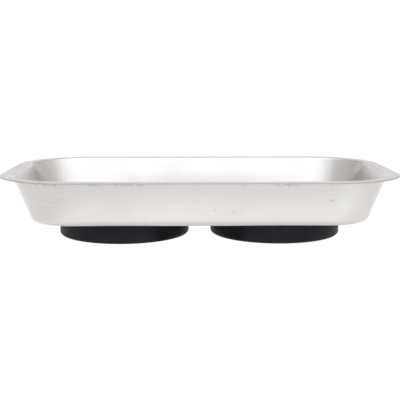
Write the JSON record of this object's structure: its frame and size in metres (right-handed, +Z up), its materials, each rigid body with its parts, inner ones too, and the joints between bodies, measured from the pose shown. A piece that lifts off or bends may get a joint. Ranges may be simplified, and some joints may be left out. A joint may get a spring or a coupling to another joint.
{
  "type": "magnetic parts tray",
  "caption": "Shallow rectangular steel tray with a flat rim, sloping walls and rounded corners, on round rubber-covered magnet feet, for holding loose steel parts on a bench or vehicle.",
  "frame": {"origin": "on the surface that the feet stand on, under the middle of the tray", "axes": "+X along the tray's length, +Y across it, +Z up out of the tray"},
  "size_m": [0.24, 0.145, 0.0413],
  "materials": {
    "pan_steel": "satin",
    "boot_rubber": "matte",
    "cup_steel": "satin",
    "magnet_ferrite": "matte",
    "rivet_steel": "satin",
    "mandrel_steel": "satin"
  },
  "bodies": {
    "root": {"tray_pan": "pan_steel", "left_rubber_boot": "boot_rubber", "right_rubber_boot": "boot_rubber", "left_magnet_cup": "cup_steel", "right_magnet_cup": "cup_steel", "left_ring_magnet": "magnet_ferrite", "right_ring_magnet": "magnet_ferrite", "left_rivet_body": "rivet_steel", "right_rivet_body": "rivet_steel", "left_rivet_mandrel": "mandrel_steel", "right_rivet_mandrel": "mandrel_steel"}
  },
  "joints": []
}
